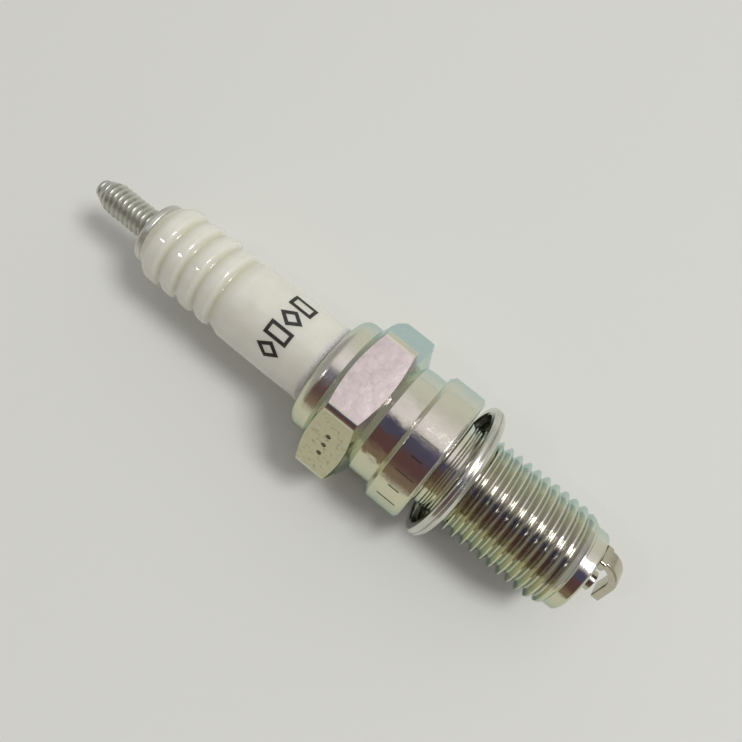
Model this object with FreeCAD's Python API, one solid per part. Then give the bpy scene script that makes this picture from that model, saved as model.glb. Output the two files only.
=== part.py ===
import FreeCAD, Part
import math
import os
from FreeCAD import Vector

# A 12 mm motorcycle spark plug, lying on one flat of its hexagon.
#
# Frame: +X runs along the plug's axis towards the firing end, +Z is up, and the origin is
# on the axis in the plane of the gasket seat. Millimetres. Axial places are called "x"
# and radii "r"; an azimuth is measured about +X from +Y towards +Z, in degrees.

os.makedirs("parts", exist_ok=True)

# ---------------------------------------------------------------- driving dimensions

# Standard sizes of a 12 mm plug with a long reach.
THREAD_MAJOR_R = 5.93       # M12 x 1.25, at its lower tolerance
THREAD_ROOT_R = 5.18
THREAD_PITCH = 1.25
REACH = 19.2                # seat to front end of the shell, 19 mm nominal
TERMINAL_HEIGHT = 50.9      # seat to tip of the bare terminal stud
HEX_FLATS = 17.8            # across flats, for an 18 mm socket
STUD_MAJOR_R = 1.95         # M4 x 0.7
STUD_ROOT_R = 1.53
STUD_PITCH = 0.7

# Metal shell, outside, from the crimped lip to the firing end.
LIP_REAR_X = -16.3
LIP_R = 7.3
LIP_ROUND = 1.25
HEX_REAR_X = -13.86         # foot of the rear chamfer, on the lip
HEX_FRONT_X = -7.4          # foot of the front chamfer, on the neck
HEX_CHAMFER_ANGLE = 25.0    # of the chamfer cone to a plane across the axis
HEX_CORNER_ROUND = 0.92
NECK_R = 7.13               # the thin wall that is buckled when the shell is closed
NECK_BULGE = 0.07
COLLAR_REAR_X = -4.68
COLLAR_R = 8.25
COLLAR_REAR_CHAMFER = 0.5
SEAT_CHAMFER = 0.35
RELIEF_R = 5.38             # turned neck that keeps the gasket captive
RELIEF_LINES_X = (0.3, 0.95, 1.3, 1.6, 2.05, 2.35, 2.75, 3.15)   # lathe tool marks
RELIEF_LINE_DEPTH = 0.05
RELIEF_LINE_HALF = 0.1
THREAD_START_X = 3.75
THREAD_RUN_IN = 0.5
THREAD_RUNOUT_X = 15.8      # from here on the crests get lower
THREAD_END_X = 17.35
THREAD_END_R = 5.52
PILOT_R = 5.09
PILOT_START_X = 17.65
FRONT_CHAMFER = 0.25
FIRST_GROOVE_X = 3.16       # the groove's centre where it starts, at the lowest azimuth
THREAD_TURNS = 12

# Metal shell, inside.
CAVITY_R = 6.1              # round the insulator's flange, talc and rings
CAVITY_REAR_X = -14.9
LIP_BORE_R = 5.15
SHELL_STEP_X = -3.2
BORE_R = 4.0
LEDGE_X = 7.4               # conical ledge that the insulator's shoulder sits on
LEDGE_R = 3.3
LEDGE_END_X = 9.6
CHAMBER_R = 3.75

# Insulator.
INSULATOR_REAR_X = -41.3
CROWN_R = 3.85              # edge of the rear face, under the stud's flange
RIB_R = 4.97
RIB_GROOVE_R = 4.5
RIB_GROOVES = 4
FIRST_RIB_GROOVE_X = -37.85
RIB_PITCH = 2.55
BARREL_R = 5.05
BARREL_START_X = -27.9
BARREL_END_X = -16.6
PACKED_R = 4.85             # unglazed length, from just behind the lip to the flange
FLANGE_R = 5.95
FLANGE_REAR_X = -7.62
FLANGE_FRONT_X = -3.4
BODY_R = 3.85
NOSE_TIP_X = 18.7
NOSE_TIP_R = 2.2
STUD_BORE_R = 1.95
BORE_STEP_X = -4.6
ELECTRODE_BORE_R = 1.3

# Packing between insulator and shell.
RING_WIRE_R = 0.5
RING_R = 0.5 * (PACKED_R + CAVITY_R)
UPPER_RING_X = CAVITY_REAR_X + RING_WIRE_R
WASHER_THICKNESS = 0.42

# Centre electrode.
ELECTRODE_R = 1.2
ELECTRODE_TIP_X = 20.75
ELECTRODE_HEAD_R = 1.7
ELECTRODE_HEAD_LENGTH = 1.3
CORE_R = 0.7
CORE_FRONT_X = 17.1

# Terminal stud and glass seal.
STUD_TIP_R = 1.05
STUD_TAPER = 2.15
STUD_TIP_NOTCH_X = 0.58     # from the tip: a shallow ring, rolled into the taper
STUD_TIP_NOTCH_DEPTH = 0.14
STUD_FLANGE_R = 3.9
STUD_FLANGE_THICKNESS = 0.95
STUD_UNDERCUT = 0.75
STUD_FIRST_GROOVE_X = -51.29
STUD_THREAD_TURNS = 12
SHAFT_R = 1.65
SHAFT_END_X = -8.2
SEAL_REAR_X = -11.6

# Ground electrode.
SPARK_GAP = 0.75
STRAP_THICKNESS = 1.0
STRAP_WIDTH = 2.15
STRAP_OUTER_R = 4.85        # where it is welded to the shell's end
STRAP_OVERHANG = 0.85       # past the axis
STRAP_BEND_R = 2.9
STRAP_EDGE_ROUND = 0.2
STRAP_AZIMUTH = 62.4
WELD_HEIGHT = 0.8           # metal squeezed up round the foot
WELD_SPREAD = 0.32
WELD_ROUND = 0.28

# Crush gasket: a folded steel ring, loose on the relief neck. It hangs cocked, with one
# edge of its rear face against the seat.
GASKET_R = 8.4
GASKET_HOLE_R = 5.75
GASKET_THICKNESS = 1.5
GASKET_BEAD_INNER_R = 7.3
GASKET_FLANGE_THICKNESS = 0.5
GASKET_EDGE_ROUND = 0.38
GASKET_FOLD_X = 0.78        # crease between its two beads, from the rear face
GASKET_FOLD_DEPTH = 0.25
GASKET_FRONT_DROP = 0.45
GASKET_SEAT_GAP = 0.05
GASKET_TILT = 8.6
GASKET_CONTACT_AZIMUTH = -62.5
GASKET_OFFSET = 0.15        # it hangs this far off the axis, away from the contact

# Shallow generic stamping: turn-gauge ticks on the collar and punch dots on one flat.
TICK_COUNT = 5
TICK_DEPTH = 0.08
TICK_WIDTH = 0.22
TICK_LONG = 2.4
TICK_SHORT = 1.4
TICK_STEP_ANGLE = 15.0
TICK_MIDDLE_AZIMUTH = 129.0
TICK_MIDDLE_X = -2.1
DOT_COUNT = 3
DOT_R = 0.3
DOT_STEP = 1.5
DOT_FACE_AZIMUTH = 150.0

AXIS = Vector(1, 0, 0)
ORIGIN = Vector(0, 0, 0)


# ---------------------------------------------------------------- helpers

def rounded_outline(corners):
    """Closed wire in the XY plane through (x, y) corners; a third value rounds a corner."""
    points = [Vector(c[0], c[1], 0) for c in corners]
    radii = [c[2] if len(c) > 2 else 0.0 for c in corners]
    count = len(points)
    starts, ends, middles = [], [], []
    for i, corner in enumerate(points):
        back = (points[i - 1] - corner).normalize()
        ahead = (points[(i + 1) % count] - corner).normalize()
        half_angle = 0.5 * back.getAngle(ahead)
        if radii[i] == 0.0:
            starts.append(corner)
            ends.append(corner)
            middles.append(None)
            continue
        reach = radii[i] / math.tan(half_angle)
        inward = (back + ahead).normalize()
        centre = corner + inward * (radii[i] / math.sin(half_angle))
        starts.append(corner + back * reach)
        ends.append(corner + ahead * reach)
        middles.append(centre - inward * radii[i])
    edges = []
    for i in range(count):
        if middles[i] is not None:
            edges.append(Part.Arc(starts[i], middles[i], ends[i]).toShape())
        following = starts[(i + 1) % count]
        if (following - ends[i]).Length > 1e-6:
            edges.append(Part.LineSegment(ends[i], following).toShape())
    return Part.Wire(edges)


def turned(corners):
    """Solid of revolution about the axis from (x, r) corners, each with an optional round."""
    return Part.Face(rounded_outline(corners)).revolve(ORIGIN, AXIS, 360)


def cylinder(radius, x_from, x_to):
    return Part.makeCylinder(radius, x_to - x_from, Vector(x_from, 0, 0), AXIS)


def spin(shape, azimuth):
    """Turn a shape made at azimuth 0, on the +Y side, to another azimuth."""
    return shape.rotated(ORIGIN, AXIS, azimuth)


def groove_turn(pitch, major_r, root_r):
    """One turn of a 60 degree right-hand thread groove, open past the crests.

    Its centre starts at x = 0 at the lowest azimuth."""
    root_half = 0.12 * pitch
    root_rise = 0.05 * pitch
    crest_break = 0.05 * pitch
    flank_slope = math.tan(math.radians(30))
    flank_r = major_r - crest_break
    flank_half = root_half + (flank_r - root_r - root_rise) * flank_slope
    open_half = 0.47 * pitch
    open_r = major_r + crest_break
    half = [(root_r + root_rise, root_half), (flank_r, flank_half), (open_r, open_half)]
    right = [Vector(r, 0, z) for r, z in half]
    left = [Vector(r, 0, -z) for r, z in half]
    root = Part.Arc(left[0], Vector(root_r, 0, 0), right[0]).toShape()
    walls = Part.makePolygon([right[0], right[1], right[2], left[2], left[1], left[0]])
    profile = Part.Wire([root] + walls.Edges)
    spine = Part.Wire(Part.makeHelix(pitch, pitch, root_r).Edges)
    groove = spine.makePipeShell([profile], True, True)
    groove.rotate(ORIGIN, Vector(0, 1, 0), 90)
    return groove


def threaded(shape, pitch, major_r, root_r, x_from, turns):
    """Cut a thread turn by turn, which keeps every cut small and exact."""
    turn = groove_turn(pitch, major_r, root_r)
    for i in range(turns):
        shape = shape.cut(turn.translated(Vector(x_from + pitch * i, 0, 0)))
    return shape


# ---------------------------------------------------------------- metal shell

def hexagon():
    """The wrench hexagon, one flat down, with rounded corners and chamfered ends."""
    corner_r = HEX_FLATS / math.sqrt(3)
    corners = [spin(Part.Vertex(0, corner_r, 0), 60 * i).Point for i in range(6)]
    prism = Part.Face(Part.makePolygon(corners + corners[:1])).extrude(Vector(40, 0, 0))
    prism.translate(Vector(-30, 0, 0))
    long_edges = [e for e in prism.Edges if abs(e.Length - 40) < 1e-3]
    prism = prism.makeFillet(HEX_CORNER_ROUND, long_edges)
    slope = math.tan(math.radians(HEX_CHAMFER_ANGLE))
    rim = corner_r + 1
    envelope = turned([
        (HEX_REAR_X - 0.2 * slope, 0),
        (HEX_REAR_X - 0.2 * slope, LIP_R - 0.2),
        (HEX_REAR_X + (rim - LIP_R) * slope, rim),
        (HEX_FRONT_X - (rim - NECK_R) * slope, rim),
        (HEX_FRONT_X + 0.2 * slope, NECK_R - 0.2),
        (HEX_FRONT_X + 0.2 * slope, 0),
    ])
    return prism.common(envelope)


def relief_neck_corners():
    """Feed marks: shallow V lines along the turned neck between seat and thread."""
    corners = [(0, RELIEF_R, 0.1)]
    for x in RELIEF_LINES_X:
        corners.append((x - RELIEF_LINE_HALF, RELIEF_R))
        corners.append((x, RELIEF_R - RELIEF_LINE_DEPTH))
        corners.append((x + RELIEF_LINE_HALF, RELIEF_R))
    return corners


def shell_blank():
    neck_middle = 0.5 * (HEX_FRONT_X + COLLAR_REAR_X)
    hex_middle = 0.5 * (HEX_REAR_X + HEX_FRONT_X)
    crest_start = THREAD_START_X + THREAD_RUN_IN
    return turned(
        [
            (LIP_REAR_X, LIP_BORE_R, 0.2),
            (LIP_REAR_X, LIP_R, LIP_ROUND),
            (hex_middle, LIP_R),
            (hex_middle, NECK_R),
            (HEX_FRONT_X, NECK_R),
            (neck_middle, NECK_R + NECK_BULGE, 6.0),
            (COLLAR_REAR_X, NECK_R),
            (COLLAR_REAR_X, COLLAR_R - COLLAR_REAR_CHAMFER, 0.1),
            (COLLAR_REAR_X + COLLAR_REAR_CHAMFER, COLLAR_R, 0.15),
            (-SEAT_CHAMFER, COLLAR_R, 0.1),
            (0, COLLAR_R - SEAT_CHAMFER, 0.1),
        ]
        + relief_neck_corners()
        + [
            (THREAD_START_X, RELIEF_R),
            (crest_start, THREAD_MAJOR_R),
            (THREAD_RUNOUT_X, THREAD_MAJOR_R, 0.6),
            (THREAD_END_X, THREAD_END_R, 0.2),
            (PILOT_START_X, PILOT_R, 0.1),
            (REACH - FRONT_CHAMFER, PILOT_R, 0.15),
            (REACH, PILOT_R - FRONT_CHAMFER, 0.1),
            (REACH, CHAMBER_R, 0.1),
            (LEDGE_END_X + 0.45, CHAMBER_R),
            (LEDGE_END_X, LEDGE_R),
            (LEDGE_X + BORE_R - LEDGE_R, LEDGE_R),
            (LEDGE_X, BORE_R),
            (SHELL_STEP_X + 1.7, BORE_R, 0.3),
            (SHELL_STEP_X, CAVITY_R, 0.3),
            (CAVITY_REAR_X, CAVITY_R, RING_WIRE_R),
            (CAVITY_REAR_X, LIP_BORE_R),
        ]
    )


def collar_ticks():
    """Short and long ticks, like a turn gauge, pressed into the collar."""
    ticks = []
    for i in range(TICK_COUNT):
        length = TICK_LONG if i % 2 == 0 else TICK_SHORT
        bar = Part.makeBox(length, 1.0, TICK_WIDTH)
        bar.translate(Vector(TICK_MIDDLE_X - length / 2, COLLAR_R - TICK_DEPTH, -TICK_WIDTH / 2))
        bar = bar.makeFillet(TICK_WIDTH / 3, [e for e in bar.Edges if abs(e.Length - 1.0) < 1e-6])
        ticks.append(spin(bar, TICK_MIDDLE_AZIMUTH + (i - (TICK_COUNT - 1) / 2) * TICK_STEP_ANGLE))
    return ticks


def hex_dots():
    """A short row of round punch dots on one flat of the hexagon."""
    middle_x = 0.5 * (HEX_REAR_X + HEX_FRONT_X)
    dots = []
    for i in range(DOT_COUNT):
        offset = (i - (DOT_COUNT - 1) / 2) * DOT_STEP
        foot = Vector(middle_x, HEX_FLATS / 2 - TICK_DEPTH, offset)
        dots.append(spin(Part.makeCylinder(DOT_R, 1, foot, Vector(0, 1, 0)), DOT_FACE_AZIMUTH))
    return dots


def metal_shell():
    blank = threaded(
        shell_blank(), THREAD_PITCH, THREAD_MAJOR_R, THREAD_ROOT_R, FIRST_GROOVE_X, THREAD_TURNS
    )
    shell = blank.fuse(hexagon().cut(cylinder(LIP_R - 0.5, -40, 40)))
    return shell.cut(collar_ticks() + hex_dots())


# ---------------------------------------------------------------- insulator and packing

def rib_corners():
    """Glazed ribs: each rises gently from its groove and drops steeply to the next one."""
    corners = []
    for i in range(RIB_GROOVES):
        x = FIRST_RIB_GROOVE_X + RIB_PITCH * i
        corners.append((x, RIB_GROOVE_R, 0.3))
        if i < RIB_GROOVES - 1:
            corners.append((x + 1.0, RIB_R, 1.3))
            corners.append((x + RIB_PITCH - 0.62, RIB_R, 0.55))
    return corners


def insulator_outline():
    shoulder = FLANGE_REAR_X - (FLANGE_R - PACKED_R)
    shoulder_foot = LEDGE_X + BORE_R - WASHER_THICKNESS * math.sqrt(2) - BODY_R
    return (
        [
            (INSULATOR_REAR_X, CROWN_R, 0.25),
            (INSULATOR_REAR_X + 1.6, RIB_R, 1.2),
            (FIRST_RIB_GROOVE_X - 0.62, RIB_R, 0.55),
        ]
        + rib_corners()
        + [
            (BARREL_START_X - 0.75, BARREL_R, 2.0),
            (BARREL_END_X, BARREL_R),
            (BARREL_END_X + 0.1, PACKED_R),
            (shoulder, PACKED_R),
            (FLANGE_REAR_X, FLANGE_R, 0.3),
            (FLANGE_FRONT_X, FLANGE_R, 0.3),
            (FLANGE_FRONT_X + 1.7, BODY_R, 0.3),
            (shoulder_foot, BODY_R, 0.1),
            (shoulder_foot + 0.9, BODY_R - 0.9, 0.1),
            (NOSE_TIP_X, NOSE_TIP_R, 0.4),
        ]
    )


def insulator():
    cone = STUD_BORE_R - ELECTRODE_BORE_R
    bore = [
        (NOSE_TIP_X, ELECTRODE_BORE_R, 0.1),
        (BORE_STEP_X + cone, ELECTRODE_BORE_R),
        (BORE_STEP_X, STUD_BORE_R),
        (INSULATOR_REAR_X, STUD_BORE_R),
    ]
    return turned(insulator_outline() + bore)


def packing_ring(x):
    return Part.makeTorus(RING_R, RING_WIRE_R, Vector(x, 0, 0), AXIS)


def lower_ring_x():
    """The wire ring rests on the 45 degree shoulder behind the insulator's flange."""
    shoulder = FLANGE_REAR_X - (FLANGE_R - PACKED_R)
    return shoulder + (RING_R - PACKED_R) - RING_WIRE_R * math.sqrt(2)


def talc_packing(upper_ring, lower_ring):
    talc = cylinder(CAVITY_R, UPPER_RING_X, lower_ring_x()).cut(cylinder(PACKED_R, -40, 0))
    return talc.cut([upper_ring, lower_ring])


def seat_packing_washer():
    """Conical washer between the insulator's shoulder and the ledge in the shell."""
    across = WASHER_THICKNESS / math.sqrt(2)
    on_ledge = [(LEDGE_X + 0.05, BORE_R - 0.05), (LEDGE_X + 0.55, BORE_R - 0.55)]
    on_shoulder = [(x - across, r - across) for x, r in reversed(on_ledge)]
    return turned(on_ledge + on_shoulder)


# ---------------------------------------------------------------- conductors in the bore

def copper_core():
    return turned([
        (BORE_STEP_X - 0.2, 0),
        (BORE_STEP_X - 0.2, CORE_R, 0.15),
        (CORE_FRONT_X, CORE_R, 0.3),
        (CORE_FRONT_X + 0.5, 0),
    ])


def center_electrode(core):
    head_x = BORE_STEP_X - ELECTRODE_HEAD_LENGTH
    cone = ELECTRODE_HEAD_R - ELECTRODE_R
    sheath = turned([
        (head_x, 0),
        (head_x, ELECTRODE_HEAD_R, 0.3),
        (BORE_STEP_X + 0.25, ELECTRODE_HEAD_R, 0.1),
        (BORE_STEP_X + 0.25 + cone, ELECTRODE_R),
        (ELECTRODE_TIP_X, ELECTRODE_R, 0.08),
        (ELECTRODE_TIP_X, 0),
    ])
    return sheath.cut(core)


def terminal_stud():
    tip_x = -TERMINAL_HEIGHT
    flange_x = INSULATOR_REAR_X - STUD_FLANGE_THICKNESS
    undercut_r = STUD_ROOT_R - 0.03
    taper_slope = (STUD_MAJOR_R - STUD_TIP_R) / STUD_TAPER
    notch_r = STUD_TIP_R + taper_slope * STUD_TIP_NOTCH_X
    notch_half = 0.2
    knurl = []
    for i in range(4):
        x = SHAFT_END_X - 2.6 + 0.6 * i
        knurl += [(x, SHAFT_R), (x + 0.15, SHAFT_R - 0.12), (x + 0.3, SHAFT_R - 0.12), (x + 0.45, SHAFT_R)]
    stud = turned(
        [
            (tip_x, 0),
            (tip_x, STUD_TIP_R, 0.15),
            (tip_x + STUD_TIP_NOTCH_X - notch_half, notch_r - taper_slope * notch_half),
            (tip_x + STUD_TIP_NOTCH_X, notch_r - STUD_TIP_NOTCH_DEPTH, 0.05),
            (tip_x + STUD_TIP_NOTCH_X + notch_half, notch_r + taper_slope * notch_half),
            (tip_x + STUD_TAPER, STUD_MAJOR_R, 1.0),
            (flange_x - STUD_UNDERCUT - 0.3, STUD_MAJOR_R),
            (flange_x - STUD_UNDERCUT, undercut_r),
            (flange_x, undercut_r, 0.2),
            (flange_x, STUD_FLANGE_R, 0.45),
            (INSULATOR_REAR_X, STUD_FLANGE_R, 0.2),
            (INSULATOR_REAR_X, SHAFT_R),
        ]
        + knurl
        + [
            (SHAFT_END_X, SHAFT_R, 0.3),
            (SHAFT_END_X, 0),
        ]
    )
    return threaded(
        stud, STUD_PITCH, STUD_MAJOR_R, STUD_ROOT_R, STUD_FIRST_GROOVE_X, STUD_THREAD_TURNS
    )


def glass_seal(stud, electrode, core):
    """Fused conductive glass: fills the bore from the stud's end to the electrode's head."""
    cone = STUD_BORE_R - ELECTRODE_R
    plug = turned([
        (SEAL_REAR_X, 0),
        (SEAL_REAR_X, STUD_BORE_R),
        (BORE_STEP_X, STUD_BORE_R),
        (BORE_STEP_X + STUD_BORE_R - ELECTRODE_BORE_R, ELECTRODE_BORE_R),
        (BORE_STEP_X + cone, ELECTRODE_R),
        (BORE_STEP_X + cone, 0),
    ])
    return plug.cut([stud, electrode, core])


# ---------------------------------------------------------------- ground electrode

def ground_electrode():
    """J-shaped nickel strap, resistance welded to the shell's end face."""
    inner_x = ELECTRODE_TIP_X + SPARK_GAP
    outer_x = inner_x + STRAP_THICKNESS
    inner_r = STRAP_OUTER_R - STRAP_THICKNESS
    side = Part.Face(rounded_outline([
        (REACH, STRAP_OUTER_R),
        (outer_x, STRAP_OUTER_R, STRAP_BEND_R),
        (outer_x, -STRAP_OVERHANG, 0.15),
        (inner_x, -STRAP_OVERHANG, 0.15),
        (inner_x, inner_r, STRAP_BEND_R - STRAP_THICKNESS),
        (REACH, inner_r),
    ]))
    side.translate(Vector(0, 0, -STRAP_WIDTH / 2))
    strap = side.extrude(Vector(0, 0, STRAP_WIDTH))
    half = STRAP_WIDTH / 2
    long_edges = []
    for edge in strap.Edges:
        on_side = all(abs(abs(v.Z) - half) < 1e-6 for v in edge.Vertexes)
        across = abs(edge.Vertexes[0].Z - edge.Vertexes[-1].Z) > 1e-6
        at_weld = all(abs(v.X - REACH) < 1e-6 for v in edge.Vertexes)
        if on_side and not across and not at_weld:
            long_edges.append(edge)
    strap = strap.makeFillet(STRAP_EDGE_ROUND, long_edges)
    weld = Part.makeBox(WELD_HEIGHT, STRAP_THICKNESS + WELD_SPREAD, STRAP_WIDTH + 2 * WELD_SPREAD)
    weld.translate(Vector(REACH, inner_r - WELD_SPREAD, -half - WELD_SPREAD))
    top_edges = [e for e in weld.Edges if e.BoundBox.XMax > REACH + 1e-6]
    weld = weld.makeFillet(WELD_ROUND, top_edges)
    return spin(strap.fuse(weld).removeSplitter(), STRAP_AZIMUTH)


# ---------------------------------------------------------------- crush gasket

def crush_gasket():
    """Folded ring, made flat against the seat and then cocked about its contact edge."""
    rear = GASKET_SEAT_GAP
    front = rear + GASKET_THICKNESS
    fold = rear + GASKET_FOLD_X
    ring = turned([
        (rear, GASKET_BEAD_INNER_R, 0.3),
        (rear, GASKET_R, GASKET_EDGE_ROUND),
        (fold - 0.08, GASKET_R, 0.2),
        (fold, GASKET_R - GASKET_FOLD_DEPTH, 0.03),
        (fold + 0.08, GASKET_R - 0.02, 0.12),
        (fold + 0.24, GASKET_R - 0.02, 0.12),
        (front, GASKET_R - GASKET_FRONT_DROP, 0.12),
        (front, GASKET_HOLE_R, 0.15),
        (front - GASKET_FLANGE_THICKNESS, GASKET_HOLE_R, 0.15),
        (front - GASKET_FLANGE_THICKNESS, GASKET_BEAD_INNER_R, 0.2),
    ])
    contact_r = GASKET_R - GASKET_EDGE_ROUND
    ring.rotate(Vector(rear, contact_r, 0), Vector(0, 0, 1), GASKET_TILT)
    ring.translate(Vector(0, -GASKET_OFFSET, 0))
    return spin(ring, GASKET_CONTACT_AZIMUTH)


# ---------------------------------------------------------------- assembly

def build():
    core = copper_core()
    electrode = center_electrode(core)
    stud = terminal_stud()
    upper_ring = packing_ring(UPPER_RING_X)
    lower_ring = packing_ring(lower_ring_x())
    return {
        "metal_shell": metal_shell(),
        "ground_electrode": ground_electrode(),
        "crush_gasket": crush_gasket(),
        "insulator": insulator(),
        "upper_packing_ring": upper_ring,
        "talc_packing": talc_packing(upper_ring, lower_ring),
        "lower_packing_ring": lower_ring,
        "seat_packing_washer": seat_packing_washer(),
        "center_electrode": electrode,
        "copper_core": core,
        "glass_seal": glass_seal(stud, electrode, core),
        "terminal_stud": stud,
    }


for name, shape in build().items():
    box = shape.BoundBox
    print(f"{name:20s} valid {shape.isValid()} solids {len(shape.Solids)} volume {shape.Volume:8.2f} "
          f"x {box.XMin:7.2f} to {box.XMax:6.2f}  z {box.ZMin:6.2f} to {box.ZMax:5.2f}")
    shape.exportStep(f"parts/{name}.step")
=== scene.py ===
import math

import bpy
from mathutils import Matrix, Vector


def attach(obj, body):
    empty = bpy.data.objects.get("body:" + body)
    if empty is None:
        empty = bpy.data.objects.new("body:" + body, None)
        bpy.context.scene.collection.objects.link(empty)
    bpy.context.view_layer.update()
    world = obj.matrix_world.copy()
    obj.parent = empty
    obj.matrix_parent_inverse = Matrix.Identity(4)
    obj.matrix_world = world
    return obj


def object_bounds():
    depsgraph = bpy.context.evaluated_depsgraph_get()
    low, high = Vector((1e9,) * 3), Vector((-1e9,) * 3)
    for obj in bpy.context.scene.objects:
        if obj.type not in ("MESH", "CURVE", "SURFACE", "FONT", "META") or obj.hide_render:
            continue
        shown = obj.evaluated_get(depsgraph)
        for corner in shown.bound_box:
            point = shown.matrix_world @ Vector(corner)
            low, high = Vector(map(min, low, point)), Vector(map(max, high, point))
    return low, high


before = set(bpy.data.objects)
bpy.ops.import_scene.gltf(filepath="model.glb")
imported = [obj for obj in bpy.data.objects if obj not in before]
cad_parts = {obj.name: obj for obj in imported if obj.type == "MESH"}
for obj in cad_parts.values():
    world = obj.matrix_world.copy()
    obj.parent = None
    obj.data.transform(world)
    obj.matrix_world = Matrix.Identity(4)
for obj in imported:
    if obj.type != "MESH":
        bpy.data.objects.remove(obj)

# Looks for a 12 mm motorcycle spark plug that lies on one flat of its hexagon.
# Blender units are metres; sizes written below with * MM are millimetres.
MM = 0.001

CAD_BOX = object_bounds()
FLOOR_Z = CAD_BOX[0][2]

# ---------------------------------------------------------------- camera

# Above the plug and a little to its -Y side, so that its firing end shows at the lower right.
CAMERA_PLACE = Vector((-1.776, -20.581, 88.732)) * MM
CAMERA_FORWARD = Vector((-0.1149, 0.25463, -0.96019))
CAMERA_RIGHT = Vector((0.77603, 0.62642, 0.07326))
SENSOR = 36.0
FOCAL_LENGTH = 1.0952 * SENSOR


def make_camera():
    data = bpy.data.cameras.new("camera")
    data.sensor_width = SENSOR
    data.lens = FOCAL_LENGTH
    data.clip_start = 0.001
    camera = bpy.data.objects.new("camera", data)
    bpy.context.scene.collection.objects.link(camera)
    back = -CAMERA_FORWARD.normalized()
    up = back.cross(CAMERA_RIGHT).normalized()
    right = up.cross(back)
    turn = Matrix((right, up, back)).transposed().to_4x4()
    camera.matrix_world = Matrix.Translation(CAMERA_PLACE) @ turn
    bpy.context.scene.camera = camera


# ---------------------------------------------------------------- materials

# Places on the plug that its finishes follow, in millimetres in the CAD frame.
HEX_FLAT_X = (-13.5, -7.8)        # the hexagon's flats and a part of its chamfers
HEX_FLAT_R = (8.5, 10.03)         # from just under the middle of a flat to near its corners
HEX_FLATS = 17.8
MARKED_FLAT = (0.0, -math.cos(math.pi / 6), 0.5)    # which way the flat with the dots faces
MARKED_FLAT_AZIMUTH = 0.86        # share of the turn, just past the corner where it starts
DOT_DEPTH = 0.08
CRIMP_END_X = -13.5               # the lip behind it is rolled over by a die
NECK_X = (-7.3, -4.7)             # buckled when the shell was crimped
COLLAR_X = (-4.7, 0.0)
COLLAR_R = 8.25
TICKS_X = (-4.1, -0.5)            # the collar between its chamfers
TICK_DEPTH = 0.08
THREAD_X = (3.75, 17.35)
THREAD_ROOT_R = 5.18
THREAD_CREST_R = 5.93
RIB_R = 4.97
RIB_GROOVE_R = 4.5
RIBS_END_X = -28.3
GLAZE_END_X = -17.1
STUD_CREST_R = 1.95

# Film colours on the hexagon's matte flats, partly painted sheen: each colour goes on the flats that
# face one way.
PINK = (0.585, 0.51, 0.515)
OLIVE = (0.72, 0.69, 0.48)
BLUE_GREEN = (0.66, 0.78, 0.79)
GRIME_AND_SHADE = (0.10, 0.085, 0.06)       # dirt in the pits, and painted shade at the bottom of the sunk marks
THREAD_ROOT_SHADE = (0.31, 0.30, 0.20)  # painted shade in the grooves of the thread


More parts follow.
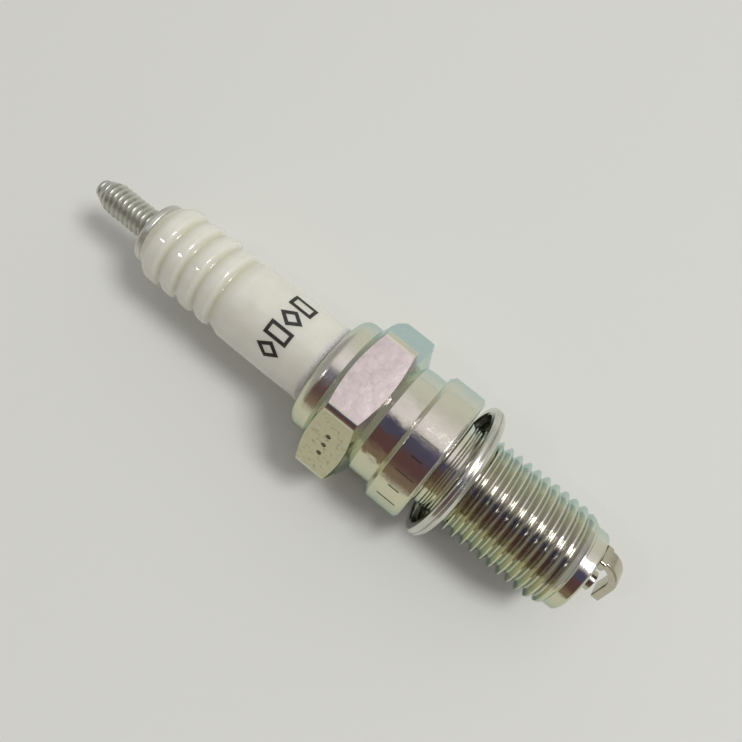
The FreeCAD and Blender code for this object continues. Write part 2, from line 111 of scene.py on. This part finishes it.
class Nodes:
    """A node tree; each method adds nodes and returns the output that matters."""

    def __init__(self, tree):
        self.tree = tree

    def node(self, kind, inputs=None, **settings):
        node = self.tree.nodes.new(kind)
        for key, value in settings.items():
            setattr(node, key, value)
        for key, value in (inputs or {}).items():
            self.feed(node.inputs[key], value)
        return node

    def feed(self, socket, value):
        if isinstance(value, bpy.types.NodeSocket):
            self.tree.links.new(value, socket)
        else:
            socket.default_value = value

    def place(self, scale=(1000.0, 1000.0, 1000.0)):
        """Object coordinates, in millimetres unless stretched by scale."""
        coordinates = self.node("ShaderNodeTexCoord").outputs["Object"]
        mapping = self.node("ShaderNodeMapping", {"Vector": coordinates, "Scale": scale})
        return mapping.outputs["Vector"]

    def noise(self, scale, detail=4.0, roughness=0.55, stretch=(1, 1, 1)):
        """Noise with scale features per millimetre, times stretch along each axis."""
        vector = self.place([1000.0 * s for s in stretch])
        inputs = {"Vector": vector, "Scale": scale, "Detail": detail, "Roughness": roughness}
        return self.node("ShaderNodeTexNoise", inputs).outputs["Fac"]

    def axial(self):
        """Distance along the plug's axis, in millimetres."""
        return self.node("ShaderNodeSeparateXYZ", {"Vector": self.place()}).outputs["X"]

    def radius(self):
        """Distance from the plug's axis, in millimetres."""
        flat = self.place((0.0, 1000.0, 1000.0))
        return self.node("ShaderNodeVectorMath", {0: flat}, operation="LENGTH").outputs["Value"]

    def azimuth(self):
        """Turn round the plug's axis as a share of a full circle: 0.5 at +Y, 0.75 at +Z."""
        axes = self.node("ShaderNodeSeparateXYZ", {"Vector": self.place()})
        turn = self.math("ARCTAN2", axes.outputs["Z"], axes.outputs["Y"])
        return self.span(turn, -math.pi, math.pi)

    def hexagon_flats(self):
        """1 on the hexagon's flats, 0 elsewhere on the shell."""
        radius = self.radius()
        lengthwise = self.between(self.axial(), HEX_FLAT_X, 0.5)
        outside = self.span(radius, HEX_FLAT_R[0], HEX_FLAT_R[0] + 0.3)
        short_of_corner = self.span(radius, HEX_FLAT_R[1] - 0.08, HEX_FLAT_R[1], 1.0, 0.0)
        return self.math("MULTIPLY", self.math("MULTIPLY", lengthwise, outside), short_of_corner)

    def sunk_mark_shade(self, flat):
        """How much painted shade darkens the bottom of the collar's ticks and the marked flat's dots.
        """
        tick = self.span(self.radius(), COLLAR_R - TICK_DEPTH, COLLAR_R - 0.03, 0.5, 0.0)
        tick = self.math("MULTIPLY", tick, self.between(self.axial(), TICKS_X, 0.1))
        out = {0: self.place((1.0, 1000.0, 1000.0)), 1: MARKED_FLAT}
        height = self.node("ShaderNodeVectorMath", out, operation="DOT_PRODUCT").outputs["Value"]
        dot = self.span(height, HEX_FLATS / 2 - DOT_DEPTH, HEX_FLATS / 2 - 0.02, 0.9, 0.0)
        dot = self.math("MULTIPLY", dot, flat)
        on_flat = self.span(self.azimuth(), MARKED_FLAT_AZIMUTH, MARKED_FLAT_AZIMUTH + 0.01)
        dot = self.math("MULTIPLY", dot, on_flat)
        return self.math("MAXIMUM", tick, dot)

    def ramp(self, factor, *stops):
        """Colours blended between stops, each a position from 0 to 1 and a colour."""
        node = self.node("ShaderNodeValToRGB", {"Fac": factor})
        elements = node.color_ramp.elements
        while len(elements) < len(stops):
            elements.new(0.5)
        for element, (position, color) in zip(elements, stops):
            element.position = position
            element.color = (*color, 1.0)
        return node.outputs["Color"]

    def mix(self, factor, first, second, blend="MIX"):
        node = self.node("ShaderNodeMix", data_type="RGBA", blend_type=blend)
        self.feed(node.inputs[0], factor)
        for socket, color in ((node.inputs[6], first), (node.inputs[7], second)):
            if isinstance(color, tuple) and len(color) == 3:
                color = (*color, 1.0)
            self.feed(socket, color)
        return node.outputs[2]

    def math(self, operation, first, second=0.0):
        node = self.node("ShaderNodeMath", {0: first, 1: second}, operation=operation)
        return node.outputs[0]

    def span(self, value, low, high, to_low=0.0, to_high=1.0, smooth=False):
        """A value moved from the range low to high into the range to_low to to_high, and kept in it."""
        node = self.node("ShaderNodeMapRange", {0: value, 1: low, 2: high, 3: to_low, 4: to_high})
        if smooth:
            node.interpolation_type = "SMOOTHSTEP"
        return node.outputs[0]

    def between(self, value, limits, edge):
        """1 between the limits and 0 outside them, with soft edges inside the limits."""
        low, high = limits
        rise = self.span(value, low, low + edge)
        return self.math("MULTIPLY", rise, self.span(value, high - edge, high, 1.0, 0.0))

    def bump(self, height, distance, normal=None):
        """Relief, this many millimetres for each unit of height, on top of any given normal."""
        inputs = {"Height": height, "Distance": distance * MM}
        if normal is not None:
            inputs["Normal"] = normal
        return self.node("ShaderNodeBump", inputs).outputs["Normal"]


class Shader(Nodes):
    """One procedural material."""

    def __init__(self, name):
        self.material = bpy.data.materials.new(name)
        self.material.use_nodes = True
        super().__init__(self.material.node_tree)
        self.principled = self.tree.nodes["Principled BSDF"]

    def set(self, **values):
        for key, value in values.items():
            self.feed(self.principled.inputs[key.replace("_", " ")], value)


def zinc_plated_steel():
    """Steel under a thin zinc passivation: turned and bright, with matte forged hexagon flats."""
    shader = Shader("zinc_plated_steel")

    # Partly painted light: the film's colours change round the plug, lighter on its upper side towards
    # +Y, where the lamps and the bright ceiling are, and shifting in tint as the film's sheen does with
    # the angle of view. They are also patchy.
    patchy = shader.span(shader.noise(0.35, 3.0, 0.5), 0.3, 0.7, -0.03, 0.03)
    azimuth = shader.math("ADD", shader.azimuth(), patchy)
    film_and_painted_light = shader.ramp(
        azimuth, (0.0, (0.60, 0.62, 0.48)), (0.40, (0.58, 0.62, 0.50)),
        (0.56, (0.68, 0.76, 0.76)), (0.66, (0.80, 0.80, 0.66)), (0.75, (0.70, 0.66, 0.63)),
        (0.82, (0.70, 0.68, 0.58)), (0.90, (0.75, 0.73, 0.53)), (1.0, (0.60, 0.62, 0.48)),
    )

    # Painted shade: the film is darkened in the grooves of the thread.
    root_shade = shader.span(shader.radius(), THREAD_ROOT_R, THREAD_CREST_R - 0.1, 0.36, 0.0)
    on_thread = shader.between(shader.axial(), THREAD_X, 0.3)
    film_and_painted_light = shader.mix(shader.math("MULTIPLY", root_shade, on_thread), film_and_painted_light, THREAD_ROOT_SHADE)

    # Turning marks run round the plug. The lip is duller, where the die rolled it over.
    turning = shader.noise(1.0, 3.0, 0.6, stretch=(14.0, 0.25, 0.25))
    bright = shader.span(turning, 0.3, 0.7, 0.07, 0.14)
    crimped = shader.span(shader.axial(), CRIMP_END_X - 0.3, CRIMP_END_X, 0.13, 0.0)

    # The flats are scaly from the die: duller, and the marked one pitted. Their stronger colours are
    # partly painted sheen: each flat's colour is set by the way it faces, pink on the one facing up.
    scale = shader.noise(2.2, 6.0, 0.7)
    forged_and_sheen = shader.ramp(
        shader.azimuth(), (0.0, OLIVE), (0.49, OLIVE), (0.51, BLUE_GREEN), (0.66, BLUE_GREEN),
        (0.67, PINK), (0.83, PINK), (0.84, OLIVE), (1.0, OLIVE),
    )
    uneven = shader.ramp(scale, (0.35, (0.88, 0.88, 0.88)), (0.65, (1.0, 1.0, 1.0)))
    forged_and_sheen = shader.mix(1.0, forged_and_sheen, uneven, "MULTIPLY")
    pits = shader.span(shader.noise(1.6, 5.0, 0.8), 0.56, 0.68, 0.0, 0.75)
    pits = shader.math("MULTIPLY", pits, shader.span(shader.azimuth(), 0.83, 0.85))
    forged_and_sheen = shader.mix(pits, forged_and_sheen, GRIME_AND_SHADE)
    flat = shader.hexagon_flats()
    matte = shader.span(scale, 0.3, 0.7, 0.22, 0.36)
    rough = shader.math("ADD", bright, shader.math("MULTIPLY", flat, matte))
    rough = shader.math("ADD", rough, crimped)

    # The skin is slightly uneven, most of all on the buckled neck, and the collar is satin.
    on_neck = shader.between(shader.axial(), NECK_X, 0.3)
    wavy = shader.math("SUBTRACT", shader.noise(0.6, 1.5, 0.5), 0.5)
    wavy = shader.math("MULTIPLY", wavy, shader.span(on_neck, 0.0, 1.0, 1.0, 2.6))
    uneven_skin = shader.bump(wavy, 0.045)
    turned = shader.bump(turning, 0.004, normal=uneven_skin)
    on_collar = shader.between(shader.axial(), COLLAR_X, 0.3)
    grainy = shader.math("SUBTRACT", shader.noise(4.5, 4.0, 0.75), 0.5)
    grainy = shader.math("MULTIPLY", grainy, shader.span(on_collar, 0.0, 1.0, 0.4, 1.0))
    speckled = shader.bump(grainy, 0.014, normal=turned)
    relief = shader.bump(shader.math("MULTIPLY", flat, scale), 0.012, normal=speckled)

    # Painted shade at the bottom of the sunk marks, over the film and flat colours.
    color = shader.mix(shader.sunk_mark_shade(flat), shader.mix(flat, film_and_painted_light, forged_and_sheen), GRIME_AND_SHADE)
    shader.set(Base_Color=color, Metallic=1.0, Roughness=rough,
               Normal=relief, Specular_Tint=(0.74, 0.85, 0.83, 1.0))
    return shader.material


def gasket_steel():
    """Bright folded strip with faint rolling marks and a little patchy handling grime."""
    shader = Shader("gasket_steel")
    turning = shader.noise(1.0, 3.0, 0.6, stretch=(10.0, 0.3, 0.3))
    color = shader.ramp(shader.noise(0.4), (0.35, (0.62, 0.63, 0.57)), (0.65, (0.74, 0.72, 0.66)))
    shader.set(Base_Color=color, Metallic=1.0, Roughness=shader.span(turning, 0.3, 0.7, 0.14, 0.24),
               Normal=shader.bump(turning, 0.003))
    return shader.material


def nickel_alloy():
    """Drawn nickel wire and strip, slightly khaki."""
    shader = Shader("nickel_alloy")
    grain = shader.noise(1.2, 3.0, stretch=(0.6, 3.0, 3.0))
    color = shader.ramp(grain, (0.35, (0.56, 0.53, 0.41)), (0.65, (0.62, 0.59, 0.48)))
    shader.set(Base_Color=color, Metallic=1.0, Roughness=shader.span(grain, 0.3, 0.7, 0.16, 0.26),
               Normal=shader.bump(grain, 0.003))
    return shader.material


def alumina():
    """Glazed cream ceramic, darker and yellowish in the grooves, partly where the glaze pools and
    partly painted shade; the glaze stops behind the lip.
    """
    shader = Shader("alumina")
    x, radius = shader.axial(), shader.radius()
    mottle = shader.noise(0.5, 4.0)
    cream = shader.ramp(mottle, (0.35, (0.73, 0.725, 0.63)), (0.65, (0.77, 0.765, 0.68)))
    # Partly painted shade: the rib grooves are coloured darker, and yellowish where the glaze pools.
    groove_pool_and_shade = shader.span(radius, RIB_GROOVE_R, RIB_R - 0.08, 0.75, 0.0, smooth=True)
    groove_pool_and_shade = shader.math("MULTIPLY", groove_pool_and_shade, shader.span(x, RIBS_END_X, RIBS_END_X + 0.4, 1.0, 0.0))
    color = shader.mix(groove_pool_and_shade, cream, (0.64, 0.62, 0.46))
    bare = shader.span(x, GLAZE_END_X - 0.25, GLAZE_END_X, 0.0, 1.0)
    grit = shader.noise(6.0, 6.0, 0.8)
    biscuit = shader.ramp(grit, (0.4, (0.62, 0.61, 0.57)), (0.6, (0.92, 0.92, 0.90)))
    color = shader.mix(bare, color, biscuit)
    wave = shader.bump(shader.noise(0.35, 2.0, 0.4), 0.03)
    rough_end = shader.bump(shader.math("MULTIPLY", bare, grit), 0.10, normal=wave)
    shader.set(Base_Color=color, Roughness=shader.span(bare, 0.0, 1.0, 0.34, 0.85),
               Coat_Weight=shader.span(bare, 0.0, 1.0, 1.0, 0.0), Coat_Roughness=0.02,
               Coat_IOR=1.5, Subsurface_Weight=0.5, Subsurface_Scale=0.002,
               Subsurface_Radius=(1.0, 0.95, 0.8),
               Normal=rough_end, Coat_Normal=wave)
    return shader.material


def printing_ink():
    """Fired black ceramic ink, slightly broken up."""
    shader = Shader("printing_ink")
    grain = shader.noise(5.0, 4.0)
    color = shader.ramp(grain, (0.35, (0.012, 0.011, 0.010)), (0.7, (0.045, 0.042, 0.038)))
    shader.set(Base_Color=color, Roughness=shader.span(grain, 0.3, 0.7, 0.3, 0.5),
               Normal=shader.bump(grain, 0.004))
    return shader.material


def stud_steel():
    """Dull zinc-flashed steel with grey wear on the thread's crests."""
    shader = Shader("stud_steel")
    grain = shader.noise(2.0, 5.0)
    color = shader.ramp(grain, (0.35, (0.55, 0.56, 0.50)), (0.65, (0.70, 0.70, 0.63)))
    worn = shader.span(shader.radius(), STUD_CREST_R - 0.2, STUD_CREST_R, 0.0, 0.45)
    color = shader.mix(worn, color, (0.80, 0.80, 0.76))
    shader.set(Base_Color=color, Metallic=1.0, Roughness=shader.span(grain, 0.3, 0.7, 0.34, 0.5),
               Normal=shader.bump(grain, 0.006))
    return shader.material


def plain(name, low, high, scale, metallic, roughness):
    """Mottled finish for the pieces sealed inside the shell."""
    shader = Shader(name)
    grain = shader.noise(scale, 5.0)
    shader.set(Base_Color=shader.ramp(grain, (0.35, low), (0.65, high)), Metallic=metallic,
               Roughness=shader.span(grain, 0.3, 0.7, *roughness), Normal=shader.bump(grain, 0.01))
    return shader.material


def dress(node, material):
    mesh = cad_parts[node].data
    mesh.materials.clear()
    mesh.materials.append(material)


# ---------------------------------------------------------------- printed mark

BARREL_R = 5.05 * MM
INK_SUNK = 0.02 * MM
INK_PROUD = 0.02 * MM
STROKE = 0.42 * MM
SIGN_HEIGHT = 3.1 * MM            # along the axis
SIGN_WIDTH = 1.75 * MM            # round the barrel
SIGN_PITCH = 2.2 * MM
MARK_X = -22.15 * MM
MARK_AZIMUTH = 94.5               # its middle, from +Y towards +Z

# Plain signs with no meaning, each an outline in units of half a sign's width and height.
RECTANGLE = ((-1, -1), (1, -1), (1, 1), (-1, 1))
DIAMOND = ((0, -1), (1.2, 0), (0, 1), (-1.2, 0))
SIGNS = (RECTANGLE, DIAMOND, RECTANGLE, DIAMOND)


def inset(outline, distance):
    """The same convex outline (anticlockwise), with every side moved in by distance."""
    corners = []
    for before, corner, after in zip(outline[-1:] + outline[:-1], outline, outline[1:] + outline[:1]):
        first, second = (corner - before).normalized(), (after - corner).normalized()
        inward = Vector((-first.y - second.y, first.x + second.x))
        turn = 1 + first.dot(second)
        corners.append(corner + inward * distance / turn)
    return corners


def spread(outline, steps=12):
    """Points spread evenly along each side, so that the ink bends with the barrel."""
    pairs = zip(outline, outline[1:] + outline[:1])
    return [a.lerp(b, k / steps) for a, b in pairs for k in range(steps)]


def print_sign(name, outline, azimuth, material):
    """One closed ring of ink, wrapped on the barrel."""
    outer = [Vector((x * SIGN_WIDTH / 2, y * SIGN_HEIGHT / 2)) for x, y in outline]
    loops = (spread(outer), spread(inset(outer, STROKE)))
    verts = []
    for radius in (BARREL_R + INK_PROUD, BARREL_R - INK_SUNK):
        for loop in loops:
            for point in loop:
                angle = azimuth + point.x / BARREL_R
                verts.append((MARK_X + point.y, radius * math.cos(angle), radius * math.sin(angle)))

    # Loops 0 and 1 are the edges of the proud face, 2 and 3 of the one sunk in the glaze.
    count = len(loops[0])
    faces = []
    for first, second in ((0, 1), (1, 3), (3, 2), (2, 0)):
        for k in range(count):
            after = (k + 1) % count
            faces.append((first * count + k, first * count + after,
                          second * count + after, second * count + k))
    mesh = bpy.data.meshes.new(name)
    mesh.from_pydata(verts, [], faces)
    mesh.materials.append(material)
    sign = bpy.data.objects.new(name, mesh)
    bpy.context.scene.collection.objects.link(sign)
    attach(sign, "plug")


def print_mark():
    ink = printing_ink()
    middle = (len(SIGNS) - 1) / 2
    for k, outline in enumerate(SIGNS):
        azimuth = math.radians(MARK_AZIMUTH) + (k - middle) * SIGN_PITCH / BARREL_R
        print_sign(f"printed_sign_{k + 1}", outline, azimuth, ink)


# ---------------------------------------------------------------- studio

FLOOR_SIZE = 4.0
FLOOR_GAP = 0.02 * MM             # below the plug, so that the two never share a plane
LAMP_DISTANCE = 1.0
LAMP_RADIANCE = 20.0
ROOM_STRENGTH = 1.08

PALE_ROOM = (0.56, 0.55, 0.51)
CEILING = (0.78, 0.75, 0.73)
DARK_FLAG_TOP = (0.075, 0.07, 0.12)
DARK_FLAG = (0.11, 0.058, 0.06)
WARM_SKIRTING = (0.19, 0.14, 0.11)

# The dome round the plug's axis: degrees from straight up, positive on the -Y side, and the
# colour there.
DOME = (
    (-100, PALE_ROOM), (-50, PALE_ROOM), (-20, CEILING), (-2, CEILING),
    (12, DARK_FLAG_TOP), (27, DARK_FLAG_TOP), (40, DARK_FLAG), (60, DARK_FLAG),
    (75, WARM_SKIRTING), (95, WARM_SKIRTING), (106, PALE_ROOM),
)

# Both ends of the room are plain grey walls. They fade in between these two shares of a
# direction that point along the plug's axis.
END_WALL = (0.36, 0.36, 0.35)
END_WALL_STARTS = 0.32
END_WALL_FULL = 0.68


def make_floor():
    shader = Shader("floor_paint")
    shader.set(Base_Color=(0.74, 0.75, 0.71, 1.0), Roughness=0.7)
    bpy.ops.mesh.primitive_plane_add(size=FLOOR_SIZE, location=(0, 0, FLOOR_Z - FLOOR_GAP))
    floor = bpy.context.object
    floor.name = "floor"
    floor.data.materials.append(shader.material)


def make_world():
    """A soft studio dome: pale sides, grey ends, a bright ceiling and a dark flag on the -Y side."""
    world = bpy.data.worlds.new("studio")
    world.use_nodes = True
    bpy.context.scene.world = world
    nodes = Nodes(world.node_tree)
    direction = nodes.node("ShaderNodeTexCoord").outputs["Generated"]
    axes = nodes.node("ShaderNodeSeparateXYZ", {"Vector": direction})
    left = nodes.math("MULTIPLY", axes.outputs["Y"], -1.0)
    turn = nodes.math("ARCTAN2", left, axes.outputs["Z"])
    stops = [((degrees + 180) / 360, color) for degrees, color in DOME]
    around = nodes.ramp(nodes.span(turn, -math.pi, math.pi), *stops)
    towards_end = nodes.math("ABSOLUTE", axes.outputs["X"])
    ends = nodes.span(towards_end, END_WALL_STARTS, END_WALL_FULL, smooth=True)
    background = world.node_tree.nodes["Background"]
    nodes.feed(background.inputs["Color"], nodes.mix(ends, around, END_WALL))
    nodes.feed(background.inputs["Strength"], ROOM_STRENGTH)


def lamp(name, turn, lean, size):
    """Square soft light: turn degrees round the axis from straight up, lean along it."""
    data = bpy.data.lights.new(name, "AREA")
    data.size = size
    data.energy = LAMP_RADIANCE * math.pi * size * size
    light = bpy.data.objects.new(name, data)
    bpy.context.scene.collection.objects.link(light)
    turn, lean = math.radians(turn), math.radians(lean)
    direction = Vector((
        math.sin(lean), -math.cos(lean) * math.sin(turn), math.cos(lean) * math.cos(turn)
    ))
    facing = direction.to_track_quat("Z", "Y").to_matrix().to_4x4()
    light.matrix_world = Matrix.Translation(direction * LAMP_DISTANCE) @ facing


# ---------------------------------------------------------------- scene

bpy.context.scene.view_settings.view_transform = "Standard"
make_camera()
nickel = nickel_alloy()
packing = plain("packing_steel", (0.4, 0.4, 0.4), (0.55, 0.55, 0.54), 2.0, 1.0, (0.3, 0.45))
dress("metal_shell", zinc_plated_steel())
dress("crush_gasket", gasket_steel())
dress("ground_electrode", nickel)
dress("center_electrode", nickel)
dress("insulator", alumina())
dress("terminal_stud", stud_steel())
for ring in ("upper_packing_ring", "lower_packing_ring", "seat_packing_washer"):
    dress(ring, packing)
dress("talc_packing", plain("talc", (0.72, 0.72, 0.7), (0.84, 0.84, 0.82), 4.0, 0.0, (0.8, 0.95)))
dress("copper_core", plain("copper", (0.66, 0.35, 0.22), (0.76, 0.43, 0.28), 2.0, 1.0, (0.25, 0.4)))
dress("glass_seal", plain("seal_glass", (0.02, 0.02, 0.025), (0.07, 0.07, 0.08), 3.0, 0.0, (0.15, 0.3)))
print_mark()
make_floor()
make_world()
lamp("key", -12, 22, 0.27)
lamp("side_lamp", 24, -24, 0.07)
